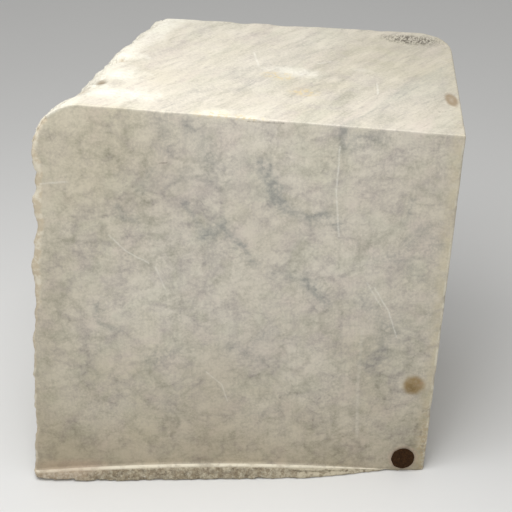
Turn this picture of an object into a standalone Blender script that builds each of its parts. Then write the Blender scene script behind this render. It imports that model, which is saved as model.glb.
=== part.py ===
"""A squared block of veined white marble, with a felt dot stuck to its front.

Four of its sides are sawn: the front, the top, the right side and the back. The left side was split off
and is rough, and it ends at the top in a wide worn shoulder. The saw that cut the front stopped a little
above the foot, so a low lip of broken stone runs along it. The block stands on a flat base.

Metres, +Z up. The front faces -Y. The dimensions are taken from the middle of the front's foot, and one
empty then carries everything to the middle of the block's plan.
"""

import math

import bmesh
import bpy
from mathutils import Matrix, Vector, noise

MM = 0.001
FREE = 0.3 * MM  # the gap between two pieces that lie on each other

# The sawn faces. A slope is the rise for one metre along the axis that its comment names.
LEFT_FOOT, RIGHT_FOOT = -0.1082, 0.1066  # x where the two sides would meet the front's foot if unworn
HEIGHT = 0.212  # over the middle of the foot
DEPTH = 0.130  # behind the middle of the foot
FRONT_LEAN = 0.024  # y along z: the front leans back
TOP_FALL = -0.097  # z along x: the top drops to the right
TOP_RISE = 0.019  # z along y
RIGHT_TURN = 0.099  # x along y
RIGHT_LEAN = 0.031  # x along z
BACK_TURN = 0.073  # y along x
BACK_LEAN = -0.010  # y along z
CORNER_FROM, CORNER_TO = (0.1245, 0.1120), (0.1150, 0.1375)  # x, y where the back right corner is worn off
CORNER_ROUND = 0.006
WORN_ARRIS = 0.9 * MM

# The split side, which turns in towards the back.
LEFT_TURN = 0.429  # x along y
LEFT_LEAN = 0.070  # x along z
SHOULDER_FRONT, SHOULDER_BACK = 0.0235, 0.0070  # radius of the worn shoulder along the top
SHOULDER_BITE = 0.50  # how much of its radius bites add or leave
SHOULDER_BITE_SIZE = 0.020
SHOULDER_BITE_SEED = 23.29
LEFT_ARRIS = 0.0028  # radius of the worn corner between the front and the split side
SPLIT_SWELL = 0.0045  # how far the split face swells and hollows
SPLIT_SWELL_SIZE = 0.040
SPLIT_RIDGE = 0.0040  # the sharper crests between the hollows
SPLIT_RIDGE_SIZE = 0.026
SPLIT_GRAIN = 0.0014
SPLIT_GRAIN_SIZE = 0.009
SPLIT_CALM = 0.030  # over this depth behind the front corner the break grows to its full roughness
SPLIT_ROWS, SPLIT_COLUMNS = 50, 32

# The lip under the end of the saw cut.
LIP_PEAK_X = -0.020  # where the ledge stands highest
LIP_LEFT_RUN, LIP_RIGHT_RUN = 0.106, 0.114  # from there to each end
LIP_PEAK, LIP_LEFT_END = 0.0064, 0.0022  # height of the ledge
LIP_FILLET = 0.0024  # where the sawn face curves out to the ledge
LIP_LEDGE = 0.0036  # how far the ledge stands out
LIP_FOOT = 0.0058  # how far the broken stone below it stands out
LIP_GRAIN = 0.0012
LIP_GRAIN_SIZE = 0.009
LIP_THINS_OVER = 0.050
LIP_COLUMNS = 60

# Chips out of the arrises: the middle of each lump of air, and its radius. The middles lie outside the stone.
CHIPS = (
    ((-0.0958, 0.0030, 0.1832), 0.0036),
    ((-0.0998, 0.0025, 0.1545), 0.0058),
    ((0.1106, -0.0015, 0.0395), 0.0036),
    ((0.0960, 0.1395, 0.2080), 0.0052),
    ((-0.0060, 0.1310, 0.2185), 0.0052),
    ((0.1200, 0.0610, 0.2050), 0.0040),
    ((0.1140, 0.1390, 0.0900), 0.0075),
)

# The felt dot.
DOT_CENTRE = (0.0946, 0.0090)  # x and z on the front
DOT_RADIUS = 0.00635
DOT_THICKNESS = 0.0011
DOT_EDGE = 0.0003
DOT_SIDES = 48

# The middle of the block's plan, from the middle of the front's foot.
PLAN_MIDDLE = (0.0078, 0.0660)


def collection(name, helpers=False):
    made = bpy.data.collections.new(name)
    made.hide_render = helpers
    bpy.context.scene.collection.children.link(made)
    return made


def material(name, colour, roughness):
    made = bpy.data.materials.new(name)
    made.use_nodes = True
    shader = made.node_tree.nodes["Principled BSDF"]
    shader.inputs["Base Color"].default_value = (*colour, 1.0)
    shader.inputs["Roughness"].default_value = roughness
    shader.inputs["Metallic"].default_value = 0.0
    made.diffuse_color = (*colour, 1.0)
    return made


def add(bm, name, home, carrier, finish=None):
    """The bmesh as a new object in a collection, carried by the empty."""
    bmesh.ops.recalc_face_normals(bm, faces=bm.faces)
    mesh = bpy.data.meshes.new(name)
    bm.to_mesh(mesh)
    bm.free()
    made = bpy.data.objects.new(name, mesh)
    home.objects.link(made)
    made.parent = carrier
    if finish:
        mesh.materials.append(finish)
    else:
        made.hide_render = True
        made.display_type = "WIRE"
    return made


def cut(piece, cutter):
    step = piece.modifiers.new("cut " + cutter.name, "BOOLEAN")
    step.operation = "DIFFERENCE"
    step.solver = "EXACT"
    step.object = cutter


def saw(bm, point, normal):
    """One straight cut: what lies on the normal's side falls away, and the cut is closed."""
    everything = bm.verts[:] + bm.edges[:] + bm.faces[:]
    cut_edges = bmesh.ops.bisect_plane(
        bm, geom=everything, dist=1e-7, plane_co=point, plane_no=normal, clear_outer=True
    )["geom_cut"]
    rim = [part for part in cut_edges if isinstance(part, bmesh.types.BMEdge)]
    bmesh.ops.contextual_create(bm, geom=rim)


def closed_sheet(bm, columns, rows, place, far):
    """A rough cutter: a grid whose points place() puts on the cut, carried back to where far() puts them."""
    bmesh.ops.create_grid(bm, x_segments=columns, y_segments=rows, size=1.0)
    for vert in bm.verts:
        across, up = (vert.co.x + 1) / 2, (vert.co.y + 1) / 2
        vert.co = place(across, up)
    back = bmesh.ops.extrude_face_region(bm, geom=bm.faces[:], use_keep_orig=True)["geom"]
    for part in back:
        if isinstance(part, bmesh.types.BMVert):
            part.co = far(part.co)


def quarter_round(distance, radius):
    """How far a worn corner has drawn back from one face, at a distance from the other."""
    inside = min(max(1 - distance / radius, 0.0), 1.0)
    return radius * (1 - math.sqrt(1 - inside * inside))


def front_y(z):
    return FRONT_LEAN * z


def top_z(x, y):
    return HEIGHT + TOP_FALL * x + TOP_RISE * y


def split_x(y, z):
    """The split side: its slant, its worn shoulder and front corner, and the roughness of the break."""
    slant = LEFT_FOOT + LEFT_TURN * y + LEFT_LEAN * z
    along = min(max(y / DEPTH, 0.0), 1.0)
    shoulder = SHOULDER_FRONT + (SHOULDER_BACK - SHOULDER_FRONT) * along
    shoulder *= 1 + SHOULDER_BITE * noise.noise(Vector((SHOULDER_BITE_SEED, y / SHOULDER_BITE_SIZE, 0.0)))
    worn = quarter_round(top_z(slant + shoulder, y) - z, shoulder)
    worn += quarter_round(y - front_y(z), LEFT_ARRIS)
    # The break is calmer at the front corner, which is straight.
    calm = min(max((y - front_y(z)) / SPLIT_CALM, 0.12), 1.0)
    spot = Vector((0.0, y, z))
    swell = SPLIT_SWELL * noise.fractal(spot / SPLIT_SWELL_SIZE, 1.0, 2.0, 2)
    ridge = SPLIT_RIDGE * (abs(noise.noise(spot / SPLIT_RIDGE_SIZE)) - 0.2)
    grain = SPLIT_GRAIN * noise.noise(spot / SPLIT_GRAIN_SIZE)
    return slant + worn + calm * (swell + ridge) + grain


def split_cutter(home, carrier):
    """Takes the left side off the blank, along the break."""

    def place(across, up):
        y = -0.020 + across * (DEPTH + 0.040)
        # Rows lie closer together up at the shoulder.
        z = -0.010 + (HEIGHT + 0.030) * (1 - (1 - up) ** 1.5)
        return Vector((split_x(y, z), y, z))

    bm = bmesh.new()
    closed_sheet(bm, SPLIT_COLUMNS, SPLIT_ROWS, place, lambda co: Vector((-0.200, co.y, co.z)))
    return add(bm, "split cutter", home, carrier)


def ledge_z(x):
    """The height of the ledge where the saw stopped: an arch that dips under the base at the right end."""
    if x < LIP_PEAK_X:
        return LIP_PEAK - (LIP_PEAK - LIP_LEFT_END) * ((LIP_PEAK_X - x) / LIP_LEFT_RUN) ** 2
    return LIP_PEAK * (1 - ((x - LIP_PEAK_X) / LIP_RIGHT_RUN) ** 2)


def lip_section(x):
    """The points (y, z) down the front at x: the sawn face, its fillet, the ledge, and the broken foot."""
    ledge = ledge_z(x)
    foot = min(ledge, 0.0) - 2 * MM
    # The lip thins out towards the right end.
    stands = min(max((LIP_PEAK_X + LIP_RIGHT_RUN - x) / LIP_THINS_OVER, 0.1), 1.0)
    radius, ledge_out, foot_out = (size * stands for size in (LIP_FILLET, LIP_LEDGE, LIP_FOOT))
    points = [(front_y(HEIGHT + 0.060), HEIGHT + 0.060)]
    for angle in (0, 30, 60, 90):
        turn = math.radians(angle)
        points.append((front_y(ledge) - radius * (1 - math.cos(turn)), ledge + radius * (1 - math.sin(turn))))
    for down in (0.0, 0.2, 0.4, 0.6, 0.8, 1.0):
        spot = Vector((x, 3 * down * LIP_GRAIN_SIZE, 0.0))
        broken = LIP_GRAIN * stands * min(down * 4 + 0.3, 1.0) * noise.fractal(spot / LIP_GRAIN_SIZE, 1.0, 2.0, 2)
        out = ledge_out + (foot_out - ledge_out) * down**0.7
        points.append((broken - out, ledge - 0.1 * MM + (foot - ledge) * down))
    points.append((points[-1][0], foot - 6 * MM))
    return points


LIP_ROWS = len(lip_section(0.0))


def kerf_cutter(home, carrier):
    """Takes the front off the blank down to the ledge, and breaks the lip under it."""

    def place(across, up):
        x = -0.125 + across * 0.260
        y, z = lip_section(x)[round(up * (LIP_ROWS - 1))]
        return Vector((x, y, z))

    bm = bmesh.new()
    closed_sheet(bm, LIP_COLUMNS, LIP_ROWS - 1, place, lambda co: Vector((co.x, -0.060, co.z)))
    # Its columns on the flat above the ledge are one face again, so the sawn front is one too.
    bmesh.ops.dissolve_limit(bm, angle_limit=math.radians(0.05), verts=bm.verts, edges=bm.edges)
    return add(bm, "kerf cutter", home, carrier)


def chip_cutter(number, centre, radius, home, carrier):
    """A lump of air the shape of a chip: a faceted ball with uneven points."""
    bm = bmesh.new()
    bmesh.ops.create_icosphere(bm, subdivisions=2, radius=radius, matrix=Matrix.Translation(centre))
    for vert in bm.verts:
        out = vert.co - Vector(centre)
        vert.co += out * 0.35 * noise.noise(vert.co / radius * 0.8)
    return add(bm, f"chip cutter {number}", home, carrier)


def blank(home, carrier, finish):
    """The sawn blank: a cube cut by one plane for each straight face, with worn arrises."""
    bm = bmesh.new()
    bmesh.ops.create_cube(bm, size=0.500, matrix=Matrix.Translation((0, 0, 0.200)))
    saw(bm, (0, 0, 0), (0, 0, -1))
    saw(bm, (0, 0, HEIGHT), (-TOP_FALL, -TOP_RISE, 1))
    saw(bm, (RIGHT_FOOT, 0, 0), (1, -RIGHT_TURN, -RIGHT_LEAN))
    saw(bm, (0, DEPTH, 0), (-BACK_TURN, 1, -BACK_LEAN))
    saw(bm, (0, -0.012, 0), (0, -1, 0))
    saw(bm, (-0.130, 0, 0), (-1, 0, 0))

    (x0, y0), (x1, y1) = CORNER_FROM, CORNER_TO
    saw(bm, (x0, y0, 0), (y1 - y0, x0 - x1, 0))

    def bevel(wanted, offset, segments):
        bm.normal_update()
        edges = [edge for edge in bm.edges if wanted(*(face.normal for face in edge.link_faces))]
        bmesh.ops.bevel(
            bm, geom=edges, offset=offset, affect="EDGES", segments=segments, profile=0.5, material=-1
        )

    def beside_worn_corner(a, b):
        """One of the two uprights beside the worn corner."""
        return max(abs(a.z), abs(b.z)) < 0.5 and min(a.x, b.x, a.y, b.y) > -0.5 and a.dot(b) < 0.999

    def straight_arris(a, b):
        """A sharp edge of the blank that the two cutters leave alone."""
        return a.dot(b) < 0.7 and min(a.x, b.x, a.y, b.y) > -0.5

    bevel(beside_worn_corner, CORNER_ROUND, 3)
    bevel(straight_arris, WORN_ARRIS, 2)
    return add(bm, "marble_block", home, carrier, finish)


def felt_dot(home, carrier, finish):
    """A thin disc of felt that lies against the front, near the foot of the right side."""
    bm = bmesh.new()
    bmesh.ops.create_cone(
        bm,
        cap_ends=True,
        segments=DOT_SIDES,
        radius1=DOT_RADIUS,
        radius2=DOT_RADIUS,
        depth=DOT_THICKNESS,
        matrix=Matrix.Translation((0, 0, DOT_THICKNESS / 2 + FREE)),
    )
    outer = DOT_THICKNESS + FREE
    rim = [edge for edge in bm.edges if all(abs(vert.co.z - outer) < 1e-6 for vert in edge.verts)]
    bmesh.ops.bevel(bm, geom=rim, offset=DOT_EDGE, affect="EDGES", segments=2, profile=0.5, material=-1)
    made = add(bm, "felt_dot", home, carrier, finish)
    x, z = DOT_CENTRE
    made.location = (x, front_y(z), z)
    # Its own +Z points out of the leaning front.
    made.rotation_euler = (math.pi / 2 - math.atan(FRONT_LEAN), 0, 0)
    made.data.shade_smooth()
    made.data.set_sharp_from_angle(angle=math.radians(40))
    return made


for old in list(bpy.data.objects):
    bpy.data.objects.remove(old)

parts = collection("marble block")
cutters = collection("cutters", helpers=True)
carrier = bpy.data.objects.new("block frame", None)
parts.objects.link(carrier)
carrier.location = (-PLAN_MIDDLE[0], -PLAN_MIDDLE[1], 0)

marble = material("marble", (0.62, 0.58, 0.50), 0.55)
felt = material("brown felt", (0.032, 0.018, 0.010), 0.95)

stone = blank(parts, carrier, marble)
cut(stone, split_cutter(cutters, carrier))
cut(stone, kerf_cutter(cutters, carrier))
for number, (centre, radius) in enumerate(CHIPS):
    cut(stone, chip_cutter(number, centre, radius, cutters, carrier))
felt_dot(parts, carrier, felt)
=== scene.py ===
# %% [markdown]
# # A block of veined marble
#
# The object is one natural stone. Four of its sides are sawn flat, the left side was split off and is
# rough, and the saw that cut the front stopped a little above the foot, so a low lip of broken stone runs
# along it. A small brown felt dot is stuck near the right end of that front.
#
# The measured model, called the frame here, is loaded first and is never changed. Everything below stands
# in its place with finer surfaces and a procedural finish, in metres, with +Z up and the front towards -Y.

# %% Load the frame
import math

import bmesh
import bpy
import numpy as np
from mathutils import Matrix, Vector, noise


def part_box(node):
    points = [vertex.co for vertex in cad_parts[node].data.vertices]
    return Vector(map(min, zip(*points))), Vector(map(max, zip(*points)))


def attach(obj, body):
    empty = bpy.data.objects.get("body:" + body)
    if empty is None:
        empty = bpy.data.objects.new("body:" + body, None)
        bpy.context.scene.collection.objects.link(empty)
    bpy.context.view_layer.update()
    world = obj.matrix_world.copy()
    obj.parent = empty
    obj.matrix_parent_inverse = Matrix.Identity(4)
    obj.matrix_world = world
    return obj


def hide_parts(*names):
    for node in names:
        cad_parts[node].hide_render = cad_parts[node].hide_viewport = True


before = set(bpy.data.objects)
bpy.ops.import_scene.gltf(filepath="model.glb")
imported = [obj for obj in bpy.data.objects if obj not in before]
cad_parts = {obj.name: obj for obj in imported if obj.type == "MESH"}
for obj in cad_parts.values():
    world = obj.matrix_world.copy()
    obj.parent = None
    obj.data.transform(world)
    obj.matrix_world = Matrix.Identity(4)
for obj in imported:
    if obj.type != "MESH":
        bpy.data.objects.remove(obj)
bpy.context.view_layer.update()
MM = 0.001

# %% [markdown]
# ## The planes that the saw left
#
# Each sawn side is nearly flat and a little out of square, so it can be written as one number that
# depends on two others: the front is a y for each z, the top a z for each x and y. The sizes are those of
# the frame. They are counted from the middle of the front's foot, and `MIDDLE` is where the frame's own
# origin lies on that count.

# %% The sawn sides
MIDDLE = (0.0078, 0.066)
LEFT_FOOT, RIGHT_FOOT = -0.1082, 0.1066
HEIGHT, DEPTH = 0.212, 0.13
FRONT_LEAN = 0.024  # how far the front leans back for each metre of height


def front_y(z):
    return FRONT_LEAN * z


def back_y(x, z):
    return DEPTH + 0.073 * x - 0.01 * z


def top_z(x, y):
    return HEIGHT - 0.097 * x + 0.019 * y


def right_x(y, z):
    return RIGHT_FOOT + 0.099 * y + 0.031 * z


def left_x(y, z):
    return LEFT_FOOT + 0.429 * np.maximum(y, front_y(z)) + 0.07 * z


def between(low, high, share):
    return low + (high - low) * share


print("front leans back", round(front_y(HEIGHT) / MM, 1), "mm over its height")

# %% [markdown]
# ## The lip under the end of the saw cut
#
# A saw that stops short leaves a fillet, then a narrow ledge, and below it the stone is broken off. One
# could model that as a separate strip and join it, but it is the same stone, so here it is a profile that
# the front's lowest rows follow. `ledge_z` is the arch that the ledge makes along the front. `lip_profile`
# gives, for a share from 0 at the base to 1 on the flat front, how far the stone stands out and how high.
# Near its right end a crease splits the broken face into two ridges, and only the upper one runs on.

# %% The lip's profile
LIP_PEAK_X, LIP_LEFT_RUN, LIP_RIGHT_RUN = -0.02, 0.106, 0.114
LIP_PEAK, LIP_LEFT_END, LIP_LEAST = 0.0077, 0.0031, 0.25 * MM
LIP_FILLET, LIP_LEDGE, LIP_FOOT = 0.001, 0.003, 0.0058
LIP_THINS_OVER, LIP_ROUND_END = 0.05, 0.006
CREASE_FROM, CREASE_TO, CREASE_DEEP = 0.026, 0.066, 0.0014
CREASE_AT, CREASE_WIDE = 0.62, 0.16  # shares of the broken face
PAST_CREASE = 0.4  # how much of the foot still stands out past the crease
BROKEN_PART, LEDGE_PART = 0.6, 0.76  # shares of the profile where the broken face and the ledge end


def ledge_z(x):
    left = LIP_PEAK - (LIP_PEAK - LIP_LEFT_END) * ((LIP_PEAK_X - x) / LIP_LEFT_RUN) ** 2
    right = LIP_PEAK * (1 - ((x - LIP_PEAK_X) / LIP_RIGHT_RUN) ** 2)
    return np.maximum(np.where(x < LIP_PEAK_X, left, right), LIP_LEAST)


def lip_profile(x, share):
    """How far the lip stands out at x, and its height, up its profile."""
    ledge = ledge_z(x)
    stands = np.clip((LIP_PEAK_X + LIP_RIGHT_RUN - x) / LIP_THINS_OVER, 0.02, 1.0)
    stands = stands * np.sqrt(1 - np.clip(1 - (x - LEFT_FOOT) / LIP_ROUND_END, 0, 0.97) ** 2)
    broken = np.clip(share / BROKEN_PART, 0, 1)
    flat = np.clip((share - BROKEN_PART) / (LEDGE_PART - BROKEN_PART), 0, 1)
    turn = np.clip((share - LEDGE_PART) / (1 - LEDGE_PART), 0, 1) * math.pi / 2
    past = np.clip((x - CREASE_TO) / 0.016, 0, 1)
    foot = between(LIP_FOOT, PAST_CREASE * LIP_FOOT, past) * (1 - 0.16 * np.exp(-broken / 0.1))
    out = between(foot, LIP_LEDGE, broken**1.6)
    creased = np.clip((x - CREASE_FROM) / 0.012, 0, 1) * np.clip((CREASE_TO - x) / 0.01, 0, 1)
    out = out - CREASE_DEEP * creased * np.exp(-(((broken - CREASE_AT) / CREASE_WIDE) ** 2))
    out = between(out, LIP_FILLET, flat) - LIP_FILLET * np.sin(turn)
    z = ledge * (0.9 * broken + 0.1 * flat) + LIP_FILLET * stands * (1 - np.cos(turn))
    return out * stands, z


heights = [round(float(ledge_z(place)) / MM, 1) for place in (-0.1, -0.05, 0, 0.05, 0.09)]
print("ledge height along the front, mm:", heights)

# %% [markdown]
# ## The rough of the split side
#
# Marble breaks into swells and sharper crests, with a sugary grain on top. Sculpting that by hand would
# give a mesh nobody could rebuild, so fractal noise makes it: wide swells, folded noise for the crests
# (`abs` turns its zero crossings into creases), then finer and finer bits. Flat `facets` where slabs came
# away lie behind them. Towards the front corner the break is calmer, because that corner is fairly straight.

# %% The split side's relief
def facets(spot, size, turn):
    """Pyramids with flat sides: the distance to scattered points, counted along two turned axes."""
    turned = Matrix.Rotation(math.radians(turn), 3, "X") @ spot
    return noise.voronoi(turned / size, distance_metric="MANHATTAN")[0][0] - 0.75


BITES_ON_CORNER = (  # z, depth and reach in mm
    (184, 1.4, 3.5), (175, 1.3, 3.5), (155.5, 2.2, 5.0), (33, 0.9, 5.0), (110, 0.6, 6.0)
)
BITES_ON_SHOULDER = (  # y, how much more radius, and reach, in mm
    (3, 5.5, 12), (40, 5.5, 6), (64, 10, 4.5), (84, 1.5, 6), (109, 1.5, 6)
)
SHOULDER_IN_FRONT, SHOULDER_BEHIND, SHOULDER_TALL = 0.0235, 0.007, 1.15


def break_relief(y, z):
    """How far the split side lies inside (plus) or outside (minus) its plane, in metres."""
    spot = Vector((0.0, y, z))
    behind = y - front_y(z)
    calm = min(max(behind / 0.03, 0.12), 1.0)
    swell = 4.5 * noise.fractal(spot / 0.04, 1.0, 2.0, 2)
    ridge = 4.0 * (abs(noise.noise(spot / 0.026)) - 0.2)
    grain = 1.4 * noise.noise(spot / 0.009)
    shard = 1.5 * (abs(noise.noise(spot / 0.013 + Vector((3.1, 0, 0)))) - 0.22)
    crumb = 0.55 * noise.noise(spot / 0.0045) + 0.3 * noise.noise(spot / 0.0024)
    relief = calm * (swell + ridge) + grain + (0.35 + 0.65 * calm) * (shard + crumb)
    inner = min(max((behind - 0.004) / 0.02, 0.0), 1.0) * min(max((0.19 - z) / 0.025, 0.0), 1.0)
    relief -= inner * (3.4 * facets(spot, 0.034, 25) + 1.9 * facets(spot, 0.014, 62))
    for height, depth, reach in BITES_ON_CORNER:
        near = math.hypot(z / MM - height, 0.6 * behind / MM) / reach
        relief += depth * math.exp(-near * near)
    return relief * MM


def bitten(bites, place):
    """What bites, each a place, a depth and a reach, take off at a place, all in millimetres."""
    return sum(depth * math.exp(-(((place - middle) / reach) ** 2)) for middle, depth, reach in bites)


def shoulder_radius(y):
    """The worn shoulder between the split side and the top: wide in front, narrow behind, and bitten."""
    plain = between(SHOULDER_IN_FRONT, SHOULDER_BEHIND, min(max(y / DEPTH, 0.0), 1.0))
    plain *= 1 + 0.5 * noise.noise(Vector((23.29, y / 0.02, 0.0)))
    return plain + (0.6 + bitten(BITES_ON_SHOULDER, y / MM)) * MM


samples = [break_relief(y / 100, 0.1) / MM for y in range(14)]
print("relief along one row of the split side, mm:", [round(s, 1) for s in samples])

# %% [markdown]
# ## A cube with rows where the detail is
#
# The stone starts as a cube. Cutting it evenly would spend most of its faces on flat stone, so each edge is
# cut with `subdivide_edges` and the rows are then slid along it: close together at the arrises and on the
# lip, wide apart in the middle. `spread` works that out from the spacing wanted at a few places.

# %% Spread the rows
def spread(stops, scale):
    """Shares from 0 to 1 whose gaps follow the spacing wanted at each stop, all in millimetres."""
    places, gaps = zip(*stops)
    fine = np.linspace(places[0], places[-1], 4001)
    density = 1 / (scale * np.interp(fine, places, gaps))
    count = np.concatenate([[0], np.cumsum((density[1:] + density[:-1]) / 2 * np.diff(fine))])
    rows = max(2, round(count[-1]))
    return np.interp(np.linspace(0, count[-1], rows + 1), count, fine) / places[-1]


COARSE = 1.0
across = spread([(0, 0.5), (2, 1.2), (28, 1.6), (48, 2.3), (192, 2.3), (209, 1.0), (212, 0.25)], COARSE)
deep = spread([(0, 0.25), (3, 0.9), (16, 2.1), (108, 2.3), (126, 1.2), (130, 0.4)], COARSE)
wall = spread([(0, 0.5), (8, 1.8), (25, 2.4), (170, 2.2), (182, 1.6), (206, 1.2), (210, 0.25)], COARSE)
LIP_SHARE = 0.125
lip_rows = round(14 / COARSE)
up = np.concatenate([np.linspace(0, LIP_SHARE, lip_rows + 1)[:-1], LIP_SHARE + (1 - LIP_SHARE) * wall])
print("rows across, deep and up:", len(across), len(deep), len(up))

# %% [markdown]
# ## From cube to stone
#
# `subdivide_edges` works on whichever edges it is given, so the twelve edges are cut one direction at a
# time. Where the stone is rough, on the split side, its shoulder and the lip, each face is cut once more.
# Each vertex then has three shares, across, deep and up, and `settle` turns them into a place: the sides
# depend on each other a little, so it goes round a few times until nothing moves.

# %% Cut the cube
stone = bmesh.new()
bmesh.ops.create_cube(stone, size=1.0, matrix=Matrix.Translation((0.5, 0.5, 0.5)))
for axis, rows in enumerate((across, deep, up)):
    along = [edge for edge in stone.edges if abs((edge.verts[0].co - edge.verts[1].co)[axis]) > 1e-4]
    bmesh.ops.subdivide_edges(stone, edges=along, cuts=len(rows) - 2, use_grid_fill=True)

SHOULDER_SHARE = 0.03 / 0.212  # of the block's width
ROUGH_ACROSS = np.interp(SHOULDER_SHARE, across, np.linspace(0, 1, len(across)))
ROUGH_LIP = np.interp(LIP_SHARE * BROKEN_PART, up, np.linspace(0, 1, len(up)))


def is_rough(place):
    on_lip = place.y < 1e-4 and place.z <= ROUGH_LIP
    return place.x < 1e-4 or on_lip or (place.z > 1 - 1e-4 and place.x <= ROUGH_ACROSS)


finer = [edge for edge in stone.edges if all(is_rough(vert.co) for vert in edge.verts)]
bmesh.ops.subdivide_edges(stone, edges=finer, cuts=1, use_grid_fill=True)
grid = np.array([vert.co[:] for vert in stone.verts])
shares = []
for axis, rows in enumerate((across, deep, up)):
    shares.append(np.interp(grid[:, axis] * (len(rows) - 1), np.arange(len(rows)), rows))
print(len(stone.verts), "vertices,", sum(len(face.verts) - 2 for face in stone.faces), "triangles")


def settle(u, v, w, relief=None):
    """The places of the vertices with these shares. A relief pushes in those near the split side."""
    x, y, z = between(LEFT_FOOT, RIGHT_FOOT, u), DEPTH * v, HEIGHT * w
    for _ in range(5):
        out, lip = lip_profile(x, np.clip(w / LIP_SHARE, 0, 1))
        z = between(lip, top_z(x, y), np.clip((w - LIP_SHARE) / (1 - LIP_SHARE), 0, 1))
        y = between(front_y(z) - out, back_y(x, z), v)
        x = between(left_x(y, z), right_x(y, z), u)
    if relief is not None:
        fade = np.clip(1 - u / 0.16, 0, 1) ** 2
        for i in np.nonzero(fade)[0]:
            x[i] += fade[i] * relief(y[i], z[i])
    return x, y, z


# %% [markdown]
# ## Worn arrises
#
# No arris of an old stone is sharp. A bevel would give each the same width all along, so instead a point
# near two sides is moved as if the square corner between them were a quarter circle. `round_off` does this
# with its two distances from them, and `ease` keeps the books. Small arrises come first and the wide
# shoulder last, so that the small ones are carried round with it. `rubbed` makes a radius that changes
# along its arris and, in a few bites, grows much wider.

# %% Distances from the sides
u, v, w = shares
x, y, z = settle(u, v, w)
span = {"left": right_x(y, z) - left_x(y, z), "front": back_y(x, z) - front_y(z)}
tall = (top_z(x, y) - LIP_FILLET) / (1 - LIP_SHARE)
far = {"left": u * span["left"], "front": v * span["front"], "top": (1 - w) * tall}
OPPOSITE = {"left": "right", "front": "back", "right": "left", "back": "front"}
for side in ("left", "front"):
    span[OPPOSITE[side]] = span[side]
    far[OPPOSITE[side]] = span[side] - far[side]
unworn = {side: distance.copy() for side, distance in far.items()}
print("width and depth at most, m:", *(round(float(span[side].max()), 4) for side in ("left", "front")))


def round_off(a, b, radius_a, radius_b):
    """The two distances of each point from two sides, after the corner between them is rounded off."""
    s, t = np.clip(1 - a / radius_a, 0, None), np.clip(1 - b / radius_b, 0, None)
    inside = (s > 0) & (t > 0)
    shrink = np.where(inside, np.maximum(s, t) / np.where(inside, np.hypot(s, t), 1), 1.0)
    return np.where(inside, radius_a * (1 - s * shrink), a), np.where(inside, radius_b * (1 - t * shrink), b)


def ease(side, other, along, radii):
    """Rounds off the arris between two sides. radii gives its two radii, in metres, at a place along it."""
    near = np.nonzero((far[side] < 0.045) & (far[other] < 0.045))[0]
    sizes = np.array([radii(value) for value in along[near]])
    far[side][near], far[other][near] = round_off(far[side][near], far[other][near], *sizes.T)
    for worn in {side, other} & set(OPPOSITE):
        far[OPPOSITE[worn]] = span[worn] - far[worn]


def rubbed(least, most, size, seed, squash=1.0, nicks=()):
    """A radius that is mostly the least one and in bites grows to the most, all in millimetres."""

    def radii(value):
        bite = max(0.0, noise.noise(Vector((seed, value / (size * MM), 0.0))) - 0.15) / 0.5
        rub = 1 + 0.35 * noise.noise(Vector((seed + 7, value / (0.35 * size * MM), 0.0)))
        radius = (least * rub + (most - least) * bite + bitten(nicks, value / MM)) * MM
        return radius, squash * radius

    return radii


# %% Wear them down
NICKS_IN_FRONT = ((18.5, 1.3, 2.2), (-31, 0.7, 1.6))  # the place, how much more radius, and reach, in mm
NICKS_ON_THE_RIGHT = ((40, 1.6, 2.0), (13.5, 0.9, 2.6), (167, 1.3, 3.0), (112, 1.5, 2.2), (63, 1.2, 2.4))
FAR_CORNER = (0.017, 0.026)
ease("front", "top", x, rubbed(0.45, 1.1, 11, 2.0, 1.1, NICKS_IN_FRONT))
ease("right", "front", z, rubbed(0.7, 2.0, 10, 5.5, 0.9, NICKS_ON_THE_RIGHT))
ease("right", "top", y, rubbed(1.0, 2.6, 12, 9.1, 0.9))
ease("back", "top", x, rubbed(1.3, 4.5, 14, 12.7, 0.8))
ease("left", "back", z, rubbed(2.0, 5.5, 16, 15.3))
ease("left", "front", z, rubbed(2.6, 4.2, 12, 18.9, 0.9))
ease("right", "back", z, lambda value: FAR_CORNER)
ease("left", "top", y, lambda value: (shoulder_radius(value), shoulder_radius(value) * SHOULDER_TALL))

u, v = far["left"] / span["left"], far["front"] / span["front"]
w = np.where(w > LIP_SHARE, 1 - far["top"] / tall, w)
x, y, z = settle(u, v, w, break_relief)
ends = [round(shoulder_radius(place) / MM, 1) for place in (0.0, DEPTH)]
print("the shoulder's radius in front and behind, mm:", *ends)

# %% [markdown]
# ## The foot, and chips in the worn corners
#
# The base stays flat, because the block stands on it, and its outer rim is worn and here and there crumbled.
# Then the broken parts get their last relief along their own normals: the lip, the shoulder and the split
# side are granular, flat facets show where small flakes came off, and the shoulder has three pits. Cell
# noise (`voronoi`) makes facets, since every cell is a little plane of its own.

# %% The rim of the base
CRUMBS = 7 * MM
crumbled = [noise.noise(Vector((a / CRUMBS, b / CRUMBS, 3.3))) - 0.05 for a, b in zip(x, y)]
crumbled = 3.2 * np.maximum(crumbled, 0.0)
for side, toward in (("left", (1, 0)), ("right", (-1, 0)), ("front", (0, 1)), ("back", (0, -1))):
    corner = np.exp(-(unworn["front"] / 0.02) ** 2) * np.exp(-(unworn["left"] / 0.03) ** 2)
    rim = (1.0 + 3.4 * corner + crumbled) * MM
    inward, raised = round_off(far[side], z, rim, rim)
    x += toward[0] * (inward - far[side])
    y += toward[1] * (inward - far[side])
    z = np.where(z > 0, raised, np.where(inward > far[side], raised, z))
for vert, place in zip(stone.verts, zip(x - MIDDLE[0], y - MIDDLE[1], z)):
    vert.co = place
print("the base crumbles by up to", round(float(crumbled.max()), 1), "mm")

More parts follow.
